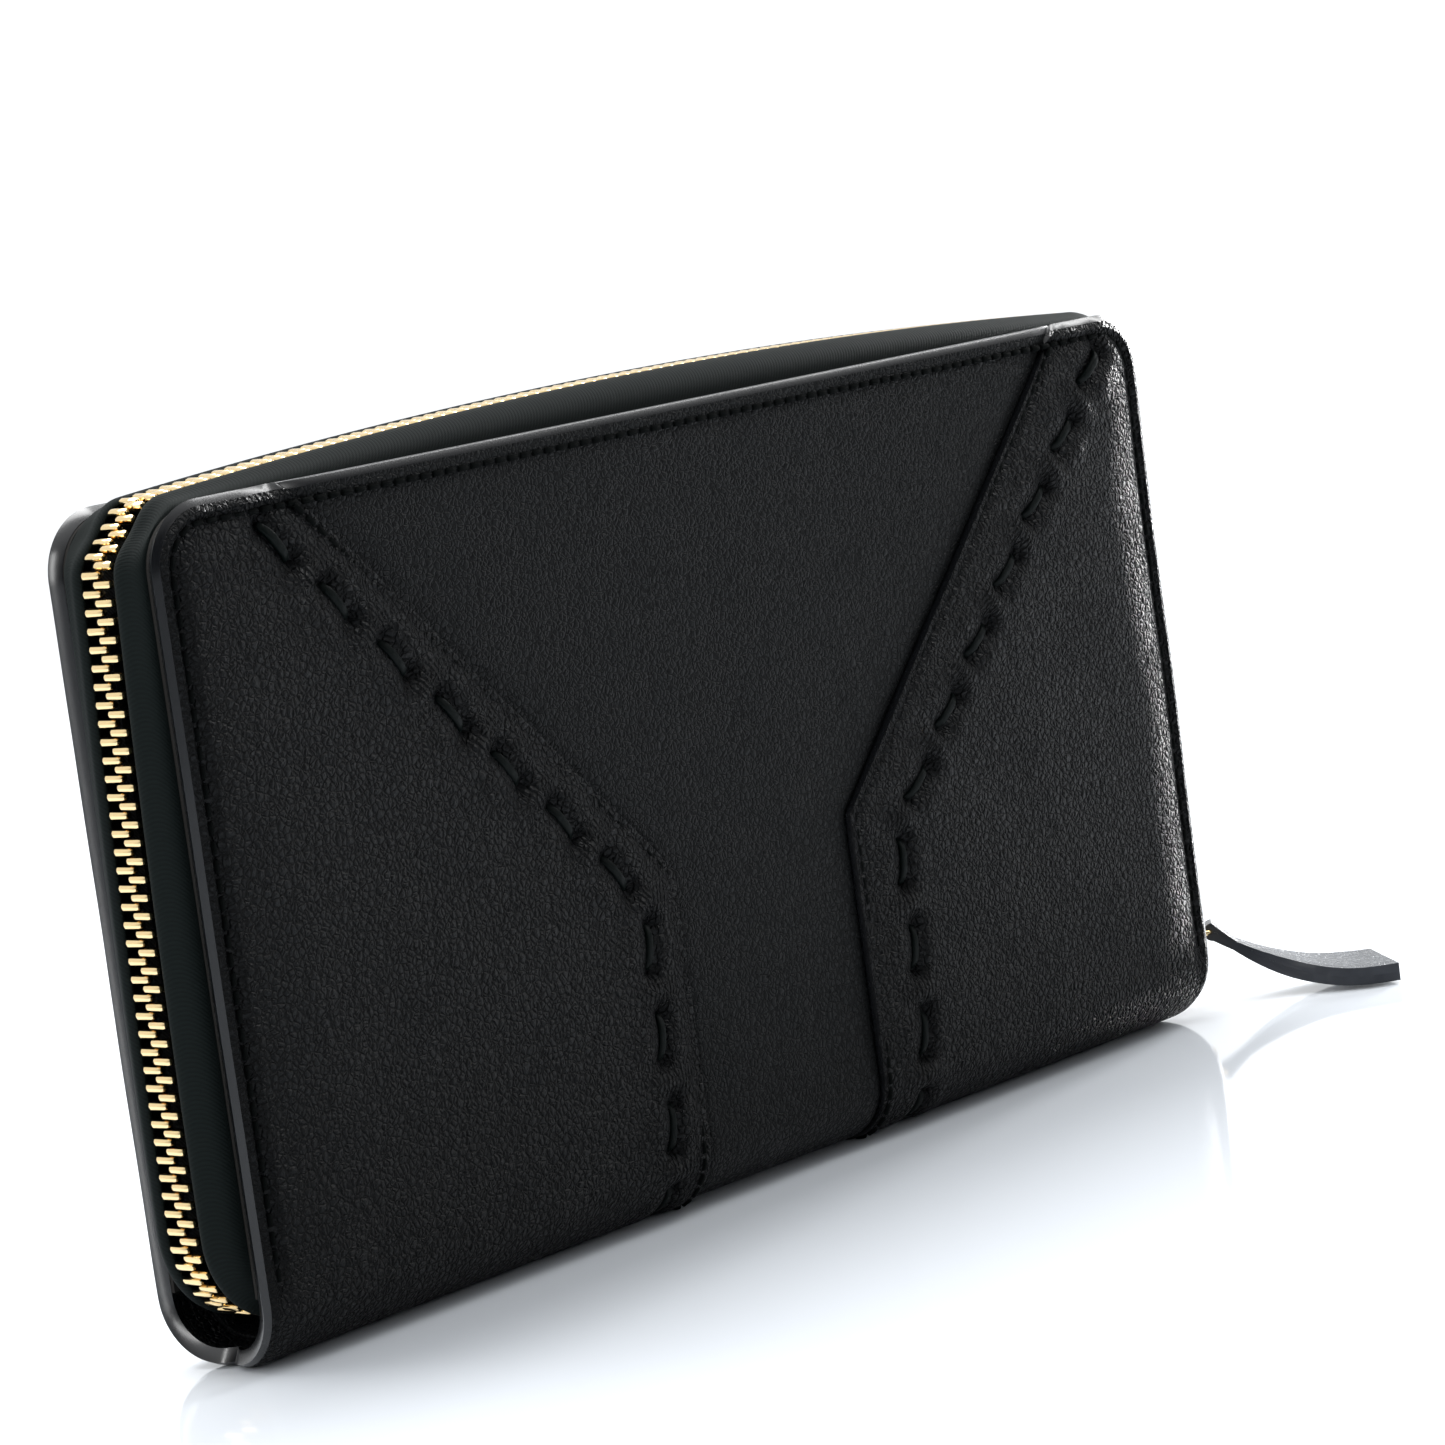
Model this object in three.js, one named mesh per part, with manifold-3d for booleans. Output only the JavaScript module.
// A zip around wallet standing on its spine, closed, with its zip pull drooping beside it.
// Millimetres, +Z up. X runs along the spine, the front cover faces -Y, and the origin is
// the middle of the flat strip that the wallet stands on.

import * as THREE from 'three';
import { mergeVertices } from 'three/addons/utils/BufferGeometryUtils.js';
import Module from 'manifold-3d';

const wasm = await Module();
wasm.setup();

// ---------------------------------------------------------------------------
// Driving dimensions
// ---------------------------------------------------------------------------

const coverLength = 189;
const coverHeight = 102;
const walletDepth = 19.4;
const coverCornerRadius = 8;
const edgeBevel = 0.5;

const padThickness = 1.9;
const panelRecess = 0.7;
const boardThickness = 0.8;
const tapeThickness = 0.6;
const liningThickness = 0.6;
const cardLayerThickness = 0.55;
const layerGap = 0.05;
const fitGap = 0.1;
const turnGap = 0.3;

const panelShift = 1.6;
const panelTopHalf = 75;
const panelNeckHalf = 17.7;
const panelKneeHeight = 44.3;

const laceOffset = 8;
const laceWidth = 2;
const laceThickness = 1;
const laceDip = 0.45;
const lacePitch = 11.6;
const laceTopMargin = 5;
const laceKneeRadius = 8;

const spineFlatHalf = 3;
const spineEndInset = 3.5;
const spineWall = 1.9;
const spineTop = 9;

const boardInset = 1;
const liningInset = 4;
const insetCornerRadius = 5;

const cardLayers = 3;
const cardSideMargin = 13;
const cardBottom = 13;
const cardTopMargin = 10;
const cardStep = 14;

const zipSideBulge = 2;
const zipTopArch = 3.25;
const zipCornerPull = 2;
const zipBottomRadius = 9;
const zipSpineClearance = 1.1;
const zipFootDrop = 0.7;
const tapeFlange = 7;
const tapeSeamInset = 0.6;
const toothHalfThickness = 1.2;
const chainHalfWidth = 2.9;
const chainSlot = 1.1;
const stopLength = 1.6;

const sliderLength = 8.6;
const sliderHalfWidth = 4.4;
const sliderInnerHalfWidth = 3.9;
const sliderPlate = 1.2;
const sliderCornerRadius = 2.2;
const postHalfWidth = 0.8;
const postLength = 3.4;
const bridgeOpening = 1.6;
const bridgeBar = 1;
const bridgeHalfWidth = 0.6;
const bridgeLength = 8;

const ringRadius = 2.8;
const ringWire = 0.45;
const ringShift = 0.4;
const loopHole = 1.3;
const strapLayer = 1.3;
const strapNeckWidth = 3;
const strapWidth = 12;
const strapTaper = 0.7;
const strapParting = 0.35;
const strapReachX = 16;
const strapReachY = 18.4;
const strapRootAngle = -52;
const strapTipAngle = -36;
const strapFloorGap = 0.15;
const strapDroopPower = 4;
const strapTilt = 0.04;

const coinHalfLength = 78;
const coinBottom = 14;
const coinTop = 84;
const coinZipHeight = 73.5;
const coinInnerHalf = 1.35;
const coinWall = 0.7;
const coinEdge = 1.2;
const coinZipOpening = 3.4;
const coinTape = 0.5;
const coinTapeLap = 4;
const coinToothHalf = 0.6;
const coinToothLength = 1.6;
const coinSlot = 0.6;
const coinStopLength = 1.5;
const coinSliderLength = 8;
const coinSliderHalfWidth = 2.9;
const coinSliderPlate = 0.55;
const coinPostHalf = 0.35;
const coinPullLength = 17;
const coinPullWidth = 4;
const coinPullHole = 0.8;
const coinPinRadius = 0.5;

const gussetBottom = 16;
const gussetTopMargin = 12;
const gussetFold = 6.2;
const gussetLeaf = 0.5;

const cornerSteps = 6;
const topSteps = 24;
const sideSteps = 4;
const laceSteps = 8;
const strapSteps = 14;
const roundSteps = 24;
const circleSteps = 10;

// ---------------------------------------------------------------------------
// Derived sizes
// ---------------------------------------------------------------------------

const halfLength = coverLength / 2;
const halfDepth = walletDepth / 2;
const spineRadius = halfDepth - spineFlatHalf;
const zipBottomInset = spineRadius + zipSpineClearance;
const sliderBottom = spineRadius - zipFootDrop;
const boardDepth = padThickness + layerGap;
const tapeDepth = boardDepth + boardThickness + layerGap;
const liningDepth = tapeDepth + tapeThickness + layerGap;
const cardDepth = liningDepth + liningThickness + layerGap;
const coverBottom = spineTop + fitGap;
const chainX = halfLength + zipSideBulge;
const plateInner = chainX + toothHalfThickness + turnGap;
const plateOuter = plateInner + sliderPlate;
const sliderMiddle = sliderBottom + sliderLength / 2;
const teethBottom = sliderBottom + postLength + turnGap;
const barInner = plateOuter + bridgeOpening;
const ringCentreX = plateOuter + fitGap * 2 + ringWire + ringRadius;
const ringCentre = new THREE.Vector2(ringCentreX, -ringShift);
const strapDepth = 2 * strapLayer + layerGap;

// ---------------------------------------------------------------------------
// Materials
// ---------------------------------------------------------------------------

const finish = (color, roughness, metalness = 0) => (
  new THREE.MeshStandardMaterial({ color, roughness, metalness })
);
const grainLeather = finish(0x17191a, 0.45);
const smoothLeather = finish(0x101213, 0.5);
const spineLeather = finish(0x141617, 0.45);
const laceLeather = finish(0x16221f, 0.4);
const boardCard = finish(0x3a3732, 0.9);
const tapeFabric = finish(0x15201f, 0.85);
const liningFabric = finish(0x1d1f20, 0.8);
const pocketLeather = finish(0x1a1b1c, 0.55);
const brass = finish(0xd8c08a, 0.25, 1);
const strapLeather = finish(0x1b1d1f, 0.4);

const wallet = new THREE.Group();

function add(name, geometry, material) {
  const mesh = new THREE.Mesh(geometry, material);
  mesh.name = name;
  wallet.add(mesh);
  return mesh;
}

// ---------------------------------------------------------------------------
// Shape helpers
// ---------------------------------------------------------------------------

// A plate with its outline in X and Z, between two distances from the middle plane.
// side is -1 for the front cover and 1 for the back one.
function plate(shape, side, outer, inner, bevel = 0) {
  const geometry = new THREE.ExtrudeGeometry(shape, {
    depth: outer - inner - 2 * bevel,
    bevelEnabled: bevel > 0,
    bevelSize: bevel,
    bevelThickness: bevel,
    bevelOffset: -bevel,
    bevelSegments: 2,
    curveSegments: cornerSteps,
  });
  geometry.rotateX(Math.PI / 2);
  const far = side < 0 ? -inner : outer;
  geometry.translate(0, far - bevel, 0);
  return geometry;
}

// An outline in Y and Z, run along X from one place to another.
function alongX(shape, from, to) {
  const geometry = new THREE.ExtrudeGeometry(shape, {
    depth: to - from,
    bevelEnabled: false,
    curveSegments: cornerSteps,
  });
  const turn = new THREE.Matrix4().makeBasis(
    new THREE.Vector3(0, 1, 0),
    new THREE.Vector3(0, 0, 1),
    new THREE.Vector3(1, 0, 0),
  );
  geometry.applyMatrix4(turn);
  geometry.translate(from, 0, 0);
  return geometry;
}

// A box between two corners.
function block(low, high) {
  const size = high.map((value, axis) => value - low[axis]);
  const middle = high.map((value, axis) => (value + low[axis]) / 2);
  return new THREE.BoxGeometry(...size).translate(...middle);
}

// A closed body through rings of equally many points, with flat ends.
function loft(rings) {
  const count = rings[0].length;
  const positions = rings.flat().flatMap((point) => [point.x, point.y, point.z]);
  const index = [];
  const quad = (a, b, c, d) => index.push(a, b, c, a, c, d);
  for (let ring = 0; ring + 1 < rings.length; ring += 1) {
    for (let k = 0; k < count; k += 1) {
      const next = (k + 1) % count;
      const here = ring * count;
      const there = here + count;
      quad(here + k, here + next, there + next, there + k);
    }
  }
  capRing(rings[0], 0, index, true);
  capRing(rings[rings.length - 1], (rings.length - 1) * count, index, false);
  const geometry = new THREE.BufferGeometry();
  geometry.setAttribute('position', new THREE.Float32BufferAttribute(positions, 3));
  geometry.setIndex(index);
  return outward(geometry);
}

// Triangles that close one end ring, laid out flat in the ring's own plane.
function capRing(ring, first, index, flip) {
  const normal = new THREE.Vector3();
  const cross = new THREE.Vector3();
  for (let k = 0; k < ring.length; k += 1) {
    cross.crossVectors(ring[k], ring[(k + 1) % ring.length]);
    normal.add(cross);
  }
  normal.normalize();
  const along = ring[1].clone().sub(ring[0]).normalize();
  const across = new THREE.Vector3().crossVectors(normal, along);
  const flat = ring.map((point) => new THREE.Vector2(point.dot(along), point.dot(across)));
  for (const [a, b, c] of THREE.ShapeUtils.triangulateShape(flat, [])) {
    index.push(first + a, first + (flip ? c : b), first + (flip ? b : c));
  }
}

// The same body with its faces pointing out.
function outward(geometry) {
  const place = geometry.getAttribute('position');
  const index = geometry.getIndex();
  const corner = [0, 1, 2].map(() => new THREE.Vector3());
  let volume = 0;
  for (let k = 0; k < index.count; k += 3) {
    corner.forEach((point, n) => point.fromBufferAttribute(place, index.getX(k + n)));
    volume += corner[0].dot(corner[1].cross(corner[2]));
  }
  if (volume < 0) {
    for (let k = 0; k < index.count; k += 3) {
      const kept = index.getX(k);
      index.setX(k, index.getX(k + 1));
      index.setX(k + 1, kept);
    }
  }
  geometry.computeVertexNormals();
  return geometry;
}

function solid(geometry) {
  const bare = geometry.clone();
  bare.deleteAttribute('normal');
  bare.deleteAttribute('uv');
  const merged = mergeVertices(bare, 1e-4);
  return new wasm.Manifold(new wasm.Mesh({
    numProp: 3,
    vertProperties: new Float32Array(merged.getAttribute('position').array),
    triVerts: new Uint32Array(merged.getIndex().array),
  }));
}

function fromSolid(body) {
  const mesh = body.getMesh();
  const geometry = new THREE.BufferGeometry();
  geometry.setAttribute('position', new THREE.BufferAttribute(mesh.vertProperties, 3));
  geometry.setIndex(new THREE.BufferAttribute(mesh.triVerts, 1));
  geometry.computeVertexNormals();
  return geometry;
}

// A rectangle with its own radius at the two top corners.
function roundTopped(half, bottom, top, radius) {
  const shape = new THREE.Shape();
  shape.moveTo(-half, bottom);
  shape.lineTo(half, bottom);
  shape.lineTo(half, top - radius);
  shape.absarc(half - radius, top - radius, radius, 0, Math.PI / 2);
  shape.lineTo(-half + radius, top);
  shape.absarc(-half + radius, top - radius, radius, Math.PI / 2, Math.PI);
  return shape;
}

function rectangle(left, right, bottom, top) {
  const shape = new THREE.Shape();
  shape.moveTo(left, bottom);
  shape.lineTo(right, bottom);
  shape.lineTo(right, top);
  shape.lineTo(left, top);
  return shape;
}

// ---------------------------------------------------------------------------
// Covers
// ---------------------------------------------------------------------------

// hand is -1 for the pad at the left end and 1 for the one at the right end.
function padShape(hand) {
  const inner = panelShift + hand * (panelNeckHalf + fitGap / 2);
  const top = panelShift + hand * (panelTopHalf + fitGap / 2);
  const outer = hand * halfLength;
  const radius = coverCornerRadius;
  const shape = new THREE.Shape();
  shape.moveTo(inner, coverBottom);
  shape.lineTo(inner, panelKneeHeight);
  shape.lineTo(top, coverHeight);
  shape.lineTo(outer - hand * radius, coverHeight);
  const middle = outer - hand * radius;
  const ends = hand < 0 ? [Math.PI / 2, Math.PI] : [Math.PI / 2, 0];
  shape.absarc(middle, coverHeight - radius, radius, ...ends, hand > 0);
  shape.lineTo(outer, coverBottom);
  return shape;
}

function panelShape() {
  const neck = panelNeckHalf - fitGap / 2;
  const top = panelTopHalf - fitGap / 2;
  const shape = new THREE.Shape();
  shape.moveTo(panelShift - neck, coverBottom);
  shape.lineTo(panelShift + neck, coverBottom);
  shape.lineTo(panelShift + neck, panelKneeHeight);
  shape.lineTo(panelShift + top, coverHeight);
  shape.lineTo(panelShift - top, coverHeight);
  shape.lineTo(panelShift - neck, panelKneeHeight);
  return shape;
}

// The line that a lace follows: down the slanted seam, round the knee, down to the spine.
function lacePath(hand) {
  const slant = new THREE.Vector2(panelTopHalf - panelNeckHalf, coverHeight - panelKneeHeight);
  const lean = Math.atan2(slant.x, slant.y);
  const kneeX = panelNeckHalf + laceOffset;
  const kneeZ = panelKneeHeight - laceOffset * Math.tan(lean / 2);
  const cut = laceKneeRadius * Math.tan(lean / 2);
  const rise = (coverHeight - laceTopMargin - kneeZ) / Math.cos(lean);
  const at = (x, z) => new THREE.Vector2(panelShift + hand * x, z);
  const points = [at(kneeX + rise * Math.sin(lean), coverHeight - laceTopMargin)];
  for (let k = 0; k <= cornerSteps; k += 1) {
    const angle = lean * (1 - k / cornerSteps);
    const x = kneeX + laceKneeRadius * (1 - Math.cos(angle));
    points.push(at(x, kneeZ - cut + laceKneeRadius * Math.sin(angle)));
  }
  points.push(at(kneeX, coverBottom + laceWidth));
  return points;
}

// Points every so often along a line of points, each with its direction.
function stations(points, step) {
  const lengths = points.slice(1).map((point, k) => point.distanceTo(points[k]));
  const total = lengths.reduce((sum, length) => sum + length, 0);
  const count = Math.round(total / step);
  const found = [];
  for (let n = 0; n <= count; n += 1) {
    let left = (n / count) * total;
    let k = 0;
    while (k + 1 < lengths.length && left > lengths[k]) {
      left -= lengths[k];
      k += 1;
    }
    const along = points[k + 1].clone().sub(points[k]).normalize();
    const point = points[k].clone().addScaledVector(along, left);
    found.push({ point, along, run: (n / count) * total });
  }
  return found;
}

// A four-sided band along a lace's line, between two depths that may vary along it.
function laceBand(hand, side, halfWidth, near, far, step) {
  const rings = stations(lacePath(hand), step).map(({ point, along, run }) => {
    const cross = new THREE.Vector2(-along.y, along.x).multiplyScalar(halfWidth);
    const corner = (sign, depth) => new THREE.Vector3(
      point.x + sign * cross.x,
      side * (halfDepth - depth),
      point.y + sign * cross.y,
    );
    return [corner(1, near(run)), corner(-1, near(run)), corner(-1, far(run)), corner(1, far(run))];
  });
  return loft(rings);
}

function padWithGroove(hand, side) {
  const pad = solid(plate(padShape(hand), side, halfDepth, halfDepth - padThickness, edgeBevel));
  const grooveDepth = laceThickness + laceDip + fitGap;
  const above = () => -laceDip;
  const below = () => grooveDepth;
  const half = laceWidth / 2 + fitGap;
  const groove = solid(laceBand(hand, side, half, above, below, lacePitch / laceSteps));
  return fromSolid(pad.subtract(groove));
}

// A lace that rises to the surface for half its pitch and dips for the other half.
function lace(hand, side) {
  const dip = (run) => (laceDip * (1 - Math.cos((2 * Math.PI * run) / lacePitch))) / 2;
  const deep = (run) => dip(run) + laceThickness;
  return laceBand(hand, side, laceWidth / 2, dip, deep, lacePitch / laceSteps);
}

function coverBoard() {
  return roundTopped(
    halfLength - boardInset,
    coverBottom,
    coverHeight - boardInset,
    coverCornerRadius - boardInset,
  );
}

function coverLining() {
  return roundTopped(
    halfLength - liningInset,
    zipBottomInset + liningInset,
    coverHeight - liningInset,
    insetCornerRadius,
  );
}

function cardPocket(layer) {
  return roundTopped(
    halfLength - cardSideMargin,
    cardBottom,
    coverHeight - cardTopMargin - layer * cardStep,
    insetCornerRadius / 2,
  );
}

// ---------------------------------------------------------------------------
// Zip
// ---------------------------------------------------------------------------

// The cover's edge line moved out by offset, from the right end's foot over the top and
// down into the curl at the left end's foot. Away from the sewn edge, share rises to 1 and
// the line follows the chain: the top stretch arches up, and the closed zip's pull draws
// its two corners down and the left one in.
function edgeLine(offset, share, rightFoot) {
  const arch = zipTopArch * share;
  const pull = zipCornerPull * share;
  const radius = coverCornerRadius + offset;
  const drawnRadius = radius - pull;
  const straight = halfLength - coverCornerRadius;
  const cornerHeight = coverHeight - coverCornerRadius;
  const curlRadius = zipBottomRadius + offset;
  const curlHeight = zipBottomInset + zipBottomRadius;
  const points = [];
  for (let k = 0; k < sideSteps; k += 1) {
    const rise = (k / sideSteps) * (cornerHeight - rightFoot);
    points.push([halfLength + offset, rightFoot + rise]);
  }
  for (let k = 0; k < cornerSteps; k += 1) {
    const angle = (Math.PI / 2) * (k / cornerSteps);
    const across = straight + radius * Math.cos(angle);
    points.push([across, cornerHeight + drawnRadius * Math.sin(angle)]);
  }
  for (let k = 0; k < topSteps; k += 1) {
    const along = 1 - (2 * k) / topSteps;
    const lift = offset - pull + arch * (1 - along * along);
    points.push([along * straight, coverHeight + lift]);
  }
  for (let k = 0; k < cornerSteps; k += 1) {
    const angle = (Math.PI / 2) * (1 + k / cornerSteps);
    const across = -straight + drawnRadius * Math.cos(angle);
    points.push([across, cornerHeight + drawnRadius * Math.sin(angle)]);
  }
  for (let k = 0; k < sideSteps; k += 1) {
    const fall = k / sideSteps;
    const across = -halfLength - offset + pull * (1 - fall) * (1 - fall);
    points.push([across, cornerHeight + fall * (curlHeight - cornerHeight)]);
  }
  for (let k = 0; k <= cornerSteps; k += 1) {
    const angle = Math.PI + (Math.PI / 2) * (k / cornerSteps);
    const middle = -halfLength + zipBottomRadius;
    points.push([middle + curlRadius * Math.cos(angle), curlHeight + curlRadius * Math.sin(angle)]);
  }
  return points;
}

// One body along the cover's edge: each corner of its section has an offset, a share of
// the chain's arch and pull, and a distance from the middle plane.
function edgeBand(side, section, rightFoot) {
  const lines = section.map(([offset, share]) => edgeLine(offset, share, rightFoot));
  const rings = lines[0].map((_, station) => (
    section.map(([, , apart], corner) => {
      const [x, z] = lines[corner][station];
      return new THREE.Vector3(x, side * apart, z);
    })
  ));
  return loft(rings);
}

function zipTape(side) {
  const outer = halfDepth - tapeDepth;
  const inner = outer - tapeThickness;
  const half = tapeThickness / 2;
  const edge = chainHalfWidth + fitGap;
  return edgeBand(side, [
    [-tapeFlange, 0, outer],
    [-tapeSeamInset, 0, outer],
    [zipSideBulge + half, 1, edge],
    [zipSideBulge - half, 1, edge],
    [-tapeSeamInset - tapeThickness, 0, inner],
    [-tapeFlange, 0, inner],
  ], sliderBottom);
}

function zipTeeth(side) {
  const low = zipSideBulge - toothHalfThickness;
  const high = zipSideBulge + toothHalfThickness;
  return edgeBand(side, [
    [low, 1, chainSlot],
    [high, 1, chainSlot],
    [high, 1, chainHalfWidth],
    [low, 1, chainHalfWidth],
  ], teethBottom);
}

function zipStop(side) {
  const near = side < 0 ? -chainHalfWidth : chainSlot;
  const far = side < 0 ? -chainSlot : chainHalfWidth;
  const top = sliderBottom - turnGap;
  return block(
    [chainX - toothHalfThickness, near, top - stopLength],
    [chainX + toothHalfThickness, far, top],
  );
}

function buildCover(label, side) {
  add(`${label}_pad_left`, padWithGroove(-1, side), grainLeather);
  add(`${label}_pad_right`, padWithGroove(1, side), grainLeather);
  const panelOuter = halfDepth - panelRecess;
  const panelInner = halfDepth - padThickness;
  add(`${label}_centre_panel`, plate(panelShape(), side, panelOuter, panelInner), smoothLeather);
  add(`${label}_lace_left`, lace(-1, side), laceLeather);
  add(`${label}_lace_right`, lace(1, side), laceLeather);
  const boardOuter = halfDepth - boardDepth;
  add(`${label}_board`, plate(coverBoard(), side, boardOuter, boardOuter - boardThickness), boardCard);
  const liningOuter = halfDepth - liningDepth;
  const liningInner = liningOuter - liningThickness;
  add(`${label}_lining`, plate(coverLining(), side, liningOuter, liningInner), liningFabric);
  for (let layer = 0; layer < cardLayers; layer += 1) {
    const outer = halfDepth - cardDepth - layer * (cardLayerThickness + layerGap);
    const pocket = plate(cardPocket(layer), side, outer, outer - cardLayerThickness);
    add(`${label}_card_pocket_${layer + 1}`, pocket, pocketLeather);
  }
  add(`${label}_zip_tape`, zipTape(side), tapeFabric);
  add(`${label}_zip_teeth`, zipTeeth(side), brass);
  add(`${label}_zip_stop`, zipStop(side), brass);
}

// ---------------------------------------------------------------------------
// Spine and gussets
// ---------------------------------------------------------------------------

// A trough in Y and Z with a flat bottom and round corners.
function trough(outerHalf, bottom, radius, wall, top) {
  const floor = outerHalf - radius;
  const inner = radius - wall;
  const middle = bottom + radius;
  const shape = new THREE.Shape();
  shape.moveTo(-outerHalf, top);
  shape.lineTo(-outerHalf, middle);
  shape.absarc(-floor, middle, radius, Math.PI, 1.5 * Math.PI);
  shape.lineTo(floor, bottom);
  shape.absarc(floor, middle, radius, -Math.PI / 2, 0);
  shape.lineTo(outerHalf, top);
  shape.lineTo(outerHalf - wall, top);
  shape.lineTo(outerHalf - wall, middle);
  shape.absarc(floor, middle, inner, 0, -Math.PI / 2, true);
  shape.lineTo(-floor, bottom + wall);
  shape.absarc(-floor, middle, inner, 1.5 * Math.PI, Math.PI, true);
  shape.lineTo(-outerHalf + wall, top);
  return shape;
}

function buildSpine() {
  const end = halfLength - spineEndInset;
  const left = panelShift - panelNeckHalf;
  const right = panelShift + panelNeckHalf;
  const wall = trough(halfDepth, 0, spineRadius, spineWall, spineTop);
  add('spine_left', alongX(wall, -end, left - fitGap / 2), spineLeather);
  add('spine_right', alongX(wall, right + fitGap / 2, end), spineLeather);
  add('spine_centre', alongX(wall, left + fitGap / 2, right - fitGap / 2), spineLeather);
  const inset = spineWall + layerGap;
  const liningWall = trough(
    halfDepth - inset,
    inset,
    spineRadius - inset,
    liningThickness,
    spineTop,
  );
  add('spine_lining', alongX(liningWall, -end, end), liningFabric);
}

// A pleated sheet at one end, folded in twice between the two linings.
function gusset(hand) {
  const reach = halfDepth - cardDepth - gussetLeaf;
  const outer = halfLength - liningInset - gussetLeaf;
  const inner = outer - gussetFold;
  const folds = [outer, inner, outer, inner, outer];
  const at = (k, sign) => new THREE.Vector2(
    hand * (folds[k] + sign * gussetLeaf / 2),
    -reach + (2 * reach * k) / (folds.length - 1),
  );
  const there = folds.map((_, k) => at(k, -1));
  const back = folds.map((_, k) => at(k, 1)).reverse();
  const shape = new THREE.Shape([...there, ...back]);
  const height = coverHeight - gussetTopMargin - gussetBottom;
  const geometry = new THREE.ExtrudeGeometry(shape, { depth: height, bevelEnabled: false });
  return geometry.translate(0, 0, gussetBottom);
}

// ---------------------------------------------------------------------------
// Slider and pull
// ---------------------------------------------------------------------------

// A plate with round corners, its outline in Y and Z, between two places on X.
function sliderPlateBody(halfWidth, from, to) {
  const radius = sliderCornerRadius;
  const half = sliderLength / 2;
  const shape = new THREE.Shape();
  shape.absarc(halfWidth - radius, half - radius, radius, 0, Math.PI / 2);
  shape.absarc(-halfWidth + radius, half - radius, radius, Math.PI / 2, Math.PI);
  shape.absarc(-halfWidth + radius, -half + radius, radius, Math.PI, 1.5 * Math.PI);
  shape.absarc(halfWidth - radius, -half + radius, radius, 1.5 * Math.PI, 2 * Math.PI);
  return solid(alongX(shape, from, to).translate(0, 0, sliderMiddle));
}

function sliderPost() {
  const shape = new THREE.Shape();
  shape.moveTo(-postHalfWidth, sliderBottom + postLength / 3);
  shape.lineTo(0, sliderBottom);
  shape.lineTo(postHalfWidth, sliderBottom + postLength / 3);
  shape.lineTo(0, sliderBottom + postLength);
  const inner = chainX - toothHalfThickness - turnGap - sliderPlate / 2;
  return solid(alongX(shape, inner, plateInner + sliderPlate / 2));
}

// An arch standing out from the outer plate, with its opening along Y.
function sliderBridge() {
  const half = bridgeLength / 2;
  const rise = bridgeOpening + bridgeBar;
  const foot = plateOuter - sliderPlate / 2;
  const arch = new THREE.Shape();
  arch.moveTo(foot, sliderMiddle - half);
  arch.lineTo(plateOuter, sliderMiddle - half);
  arch.quadraticCurveTo(
    plateOuter + rise, sliderMiddle - half,
    plateOuter + rise, sliderMiddle,
  );
  arch.quadraticCurveTo(
    plateOuter + rise, sliderMiddle + half,
    plateOuter, sliderMiddle + half,
  );
  arch.lineTo(foot, sliderMiddle + half);
  const hole = new THREE.Path();
  const inside = half - bridgeBar * 1.2;
  hole.moveTo(plateOuter, sliderMiddle - inside);
  hole.lineTo(barInner, sliderMiddle - inside / 2);
  hole.lineTo(barInner, sliderMiddle + inside / 2);
  hole.lineTo(plateOuter, sliderMiddle + inside);
  arch.holes.push(hole);
  const geometry = new THREE.ExtrudeGeometry(arch, {
    depth: 2 * bridgeHalfWidth,
    bevelEnabled: false,
    curveSegments: cornerSteps,
  });
  geometry.rotateX(Math.PI / 2);
  return solid(geometry.translate(0, bridgeHalfWidth, 0));
}

function sliderBody() {
  const innerFace = chainX - toothHalfThickness - turnGap;
  const inner = sliderPlateBody(sliderInnerHalfWidth, innerFace - sliderPlate, innerFace);
  const outer = sliderPlateBody(sliderHalfWidth, plateInner, plateOuter);
  return fromSolid(outer.add(inner).add(sliderPost()).add(sliderBridge()));
}

function pullRing() {
  const ring = new THREE.TorusGeometry(ringRadius, ringWire, circleSteps, roundSteps);
  return ring.translate(ringCentre.x, ringCentre.y, sliderMiddle);
}

function heading(degrees) {
  const angle = THREE.MathUtils.degToRad(degrees);
  return new THREE.Vector2(Math.cos(angle), Math.sin(angle));
}

// The line that the strap's middle follows in plan, drooping to the floor at its tip.
function strapLine(share) {
  const root = heading(strapRootAngle);
  const lead = heading(strapTipAngle);
  const start = ringCentre.clone().addScaledVector(root, ringRadius);
  const reach = new THREE.Vector2(strapReachX, -strapReachY);
  const tip = start.clone().add(reach);
  const bend = start.clone().addScaledVector(root, reach.cross(lead) / root.cross(lead));
  const curve = new THREE.QuadraticBezierCurve(start, bend, tip);
  const droop = Math.pow(1 - share, strapDroopPower);
  const low = strapFloorGap + strapDepth / 2 + strapTilt * strapWidth;
  return {
    point: curve.getPoint(share),
    along: curve.getTangent(share).normalize(),
    height: low + (sliderMiddle - low) * droop,
  };
}

// One layer of the strap. Near the ring the two layers part to go round its wire.
function strapLayerBody(sign) {
  const rings = [];
  for (let k = 0; k <= strapSteps; k += 1) {
    const share = k / strapSteps;
    const { point, along, height } = strapLine(share);
    const grown = Math.min(1, share / strapTaper);
    const half = (strapNeckWidth + (strapWidth - strapNeckWidth) * grown) / 2;
    const parted = loopHole * Math.pow(Math.max(0, 1 - share / strapParting), 2);
    const near = height + sign * (layerGap / 2 + parted);
    const far = near + sign * strapLayer;
    const corner = (lean, level) => new THREE.Vector3(
      point.x - lean * half * along.y,
      point.y + lean * half * along.x,
      level + lean * half * strapTilt,
    );
    rings.push([corner(1, near), corner(-1, near), corner(-1, far), corner(1, far)]);
  }
  return loft(rings);
}

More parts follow.
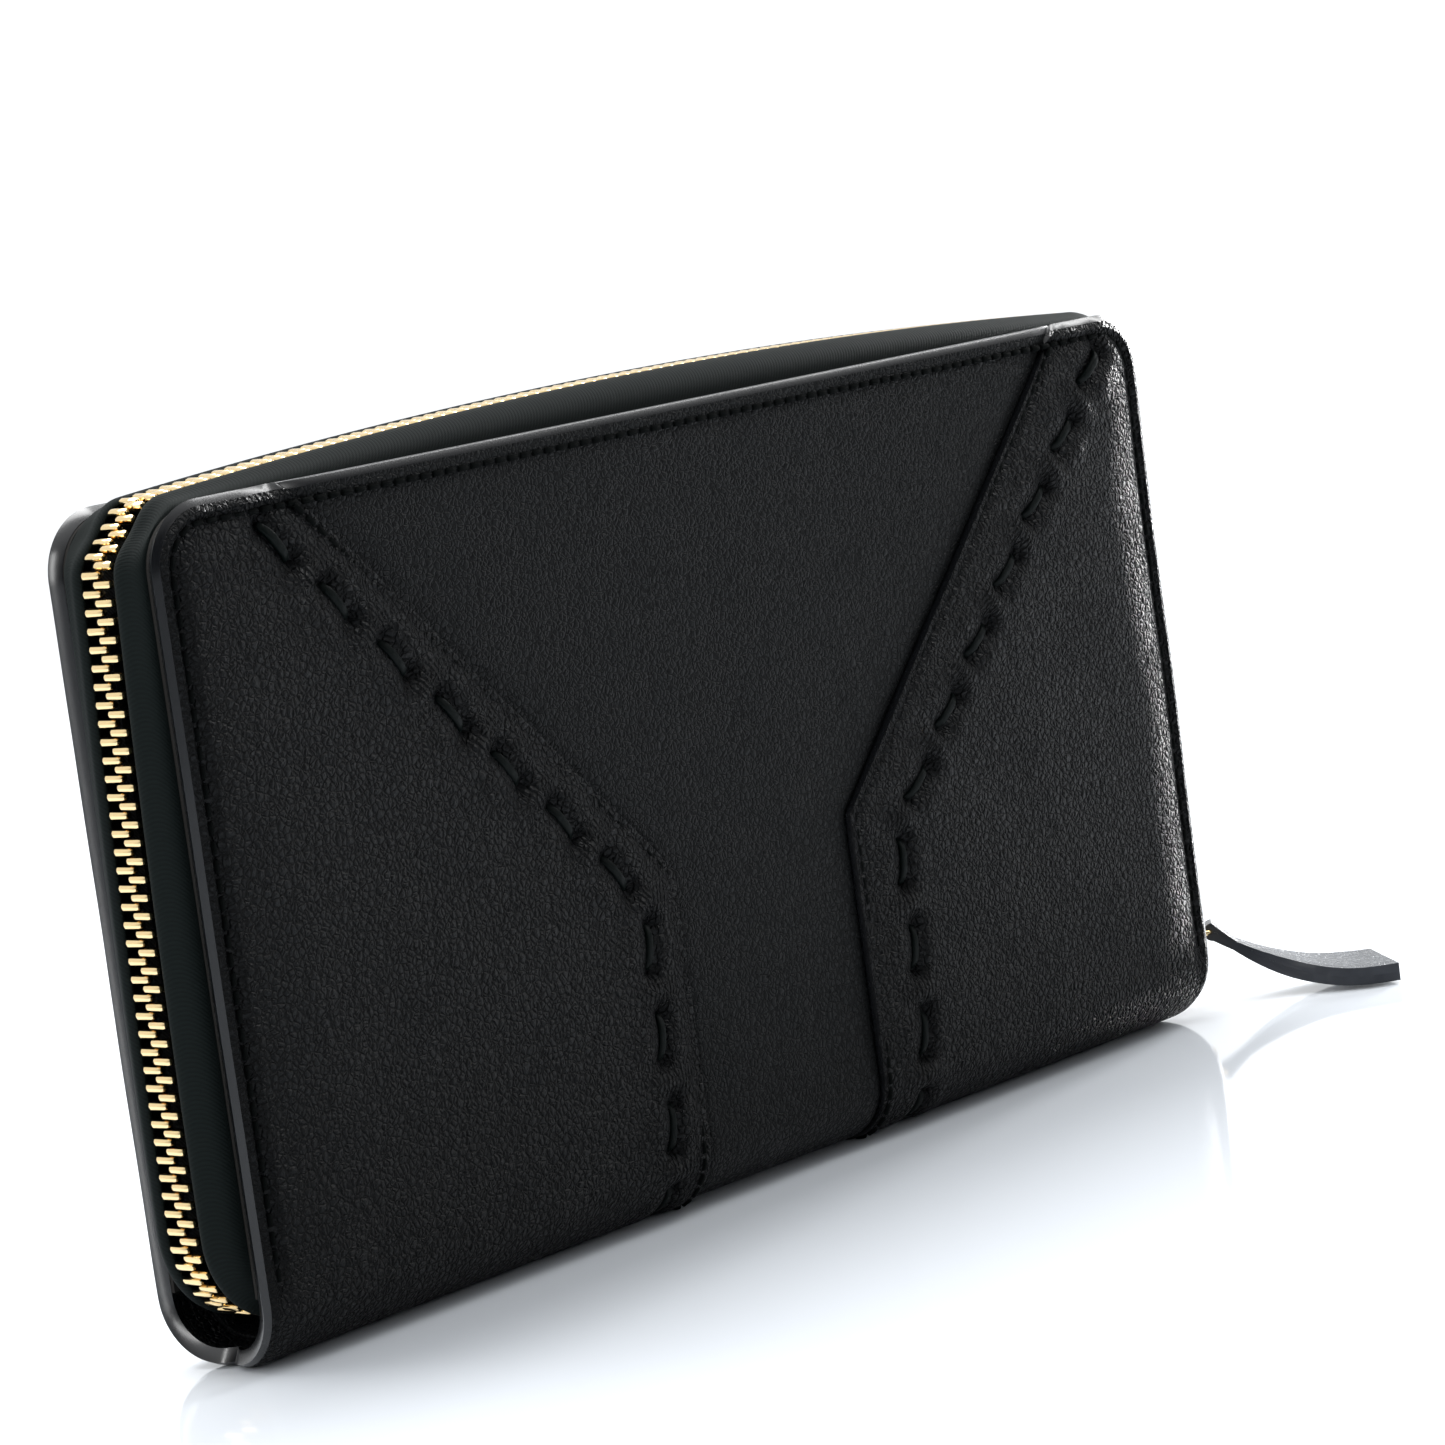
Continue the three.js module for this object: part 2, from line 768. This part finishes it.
// The half round of the strap behind the ring's wire.
function strapLoop() {
  const { point, along } = strapLine(0);
  const outer = loopHole + strapLayer + layerGap / 2;
  const inner = loopHole + layerGap / 2;
  const rings = [];
  for (let k = 0; k <= circleSteps; k += 1) {
    const angle = Math.PI * (k / circleSteps);
    const ring = [[1, inner], [-1, inner], [-1, outer], [1, outer]].map(([lean, radius]) => {
      const back = -radius * Math.sin(angle) - fitGap;
      const half = (lean * strapNeckWidth) / 2;
      return new THREE.Vector3(
        point.x + back * along.x - half * along.y,
        point.y + back * along.y + half * along.x,
        sliderMiddle + radius * Math.cos(angle) + half * strapTilt,
      );
    });
    rings.push(ring);
  }
  return loft(rings);
}

function buildPull() {
  add('slider_body', sliderBody(), brass);
  add('pull_ring', pullRing(), brass);
  add('pull_loop', strapLoop(), strapLeather);
  add('pull_strap_top', strapLayerBody(1), strapLeather);
  add('pull_strap_under', strapLayerBody(-1), strapLeather);
}

// ---------------------------------------------------------------------------
// Coin pocket
// ---------------------------------------------------------------------------

const coinOuter = coinInnerHalf + coinWall;
const coinPlane = (coinInnerHalf + coinOuter) / 2;

function buildCoinWalls() {
  const left = -coinHalfLength;
  const right = coinHalfLength;
  const low = coinZipHeight - coinZipOpening;
  const high = coinZipHeight + coinZipOpening;
  const wall = (bottom, top, side) => (
    plate(rectangle(left, right, bottom, top), side, coinOuter, coinInnerHalf)
  );
  add('coin_wall_front', wall(coinBottom, low, -1), pocketLeather);
  add('coin_wall_top_band', wall(high, coinTop, -1), pocketLeather);
  add('coin_wall_back', wall(coinBottom, coinTop, 1), pocketLeather);
  const inside = coinInnerHalf - fitGap;
  const ends = coinHalfLength - coinEdge - fitGap;
  const seam = (a, b, c, d) => block([a, -inside, c], [b, inside, d]);
  add('coin_bottom', seam(-ends, ends, coinBottom, coinBottom + coinEdge), liningFabric);
  add('coin_top', seam(-ends, ends, coinTop - coinEdge, coinTop), liningFabric);
  add('coin_side_left', seam(left, left + coinEdge, coinBottom, coinTop), liningFabric);
  add('coin_side_right', seam(right - coinEdge, right, coinBottom, coinTop), liningFabric);
}

// The tapes lie behind the wall's two edges, and the teeth stand on their facing edges.
function buildCoinZip() {
  const half = coinHalfLength - coinEdge - fitGap;
  const outer = coinInnerHalf - fitGap / 2;
  const tapeEdge = coinSlot + coinToothLength + fitGap / 2;
  const tape = (bottom, top) => (
    plate(rectangle(-half, half, bottom, top), -1, outer, outer - coinTape)
  );
  const low = coinZipHeight - coinZipOpening - coinTapeLap;
  const high = coinZipHeight + coinZipOpening + coinTapeLap;
  add('coin_tape_lower', tape(low, coinZipHeight - tapeEdge), tapeFabric);
  add('coin_tape_upper', tape(coinZipHeight + tapeEdge, high), tapeFabric);
  const reach = half - 2 * coinStopLength;
  const depth = coinPlane + coinToothHalf;
  const shallow = coinPlane - coinToothHalf;
  const teeth = (bottom, top, name) => {
    const shape = rectangle(-reach, reach, bottom, top);
    add(name, plate(shape, -1, depth, shallow), brass);
  };
  const near = coinSlot;
  const far = coinSlot + coinToothLength;
  teeth(coinZipHeight - far, coinZipHeight - near, 'coin_teeth_lower');
  teeth(coinZipHeight + near, coinZipHeight + far, 'coin_teeth_upper');
  for (const [name, hand] of [['coin_stop_left', -1], ['coin_stop_right', 1]]) {
    const ends = [hand * (reach + fitGap), hand * (reach + fitGap + coinStopLength)];
    const shape = rectangle(
      Math.min(...ends),
      Math.max(...ends),
      coinZipHeight - far,
      coinZipHeight + far,
    );
    add(name, plate(shape, -1, depth, shallow), brass);
  }
}

const coinSliderX = -(coinHalfLength - coinEdge - 2 * coinStopLength - coinSliderLength);
const coinFace = coinPlane + coinToothHalf + turnGap / 2;

// The slider's two plates, the post that joins them between the rows, and the pull's pin.
function coinSlider() {
  const half = coinSliderLength / 2;
  const at = (reach, outer, inner) => {
    const shape = rectangle(
      coinSliderX - half,
      coinSliderX + half,
      coinZipHeight - reach,
      coinZipHeight + reach,
    );
    return solid(plate(shape, -1, outer, inner));
  };
  const back = coinPlane - coinToothHalf - turnGap / 2;
  const inner = at(coinSlot + coinToothLength - fitGap, back, back - coinSliderPlate / 2);
  const outer = at(coinSliderHalfWidth, coinFace + coinSliderPlate, coinFace);
  const postShape = rectangle(
    coinSliderX - half,
    coinSliderX - half / 2,
    coinZipHeight - coinPostHalf,
    coinZipHeight + coinPostHalf,
  );
  const middle = coinFace + coinSliderPlate / 2;
  const post = solid(plate(postShape, -1, middle, back - coinSliderPlate / 4));
  const pin = new THREE.CylinderGeometry(coinPinRadius, coinPinRadius, 1, circleSteps);
  pin.translate(coinSliderX, -middle - 1 / 2, coinZipHeight);
  return fromSolid(outer.add(inner).add(post).add(solid(pin)));
}

// A flat tab with an eye, hanging on the pin.
function coinPull() {
  const shape = new THREE.Shape();
  const half = coinPullWidth / 2;
  const foot = coinZipHeight - coinPullLength;
  shape.absarc(coinSliderX, coinZipHeight, half, 0, Math.PI);
  shape.lineTo(coinSliderX - half, foot + half);
  shape.absarc(coinSliderX, foot + half, half, Math.PI, 2 * Math.PI);
  const eye = new THREE.Path();
  eye.absarc(coinSliderX, coinZipHeight, coinPullHole, 0, 2 * Math.PI, true);
  shape.holes.push(eye);
  const inner = coinFace + coinSliderPlate + fitGap;
  return plate(shape, -1, inner + coinSliderPlate * 0.7, inner);
}

// ---------------------------------------------------------------------------
// The wallet
// ---------------------------------------------------------------------------

buildCover('back', 1);
buildCover('front', -1);
buildSpine();
add('gusset_left', gusset(-1), liningFabric);
add('gusset_right', gusset(1), liningFabric);
buildCoinWalls();
buildCoinZip();
add('coin_slider', coinSlider(), brass);
add('coin_pull', coinPull(), brass);
buildPull();

export default wallet;
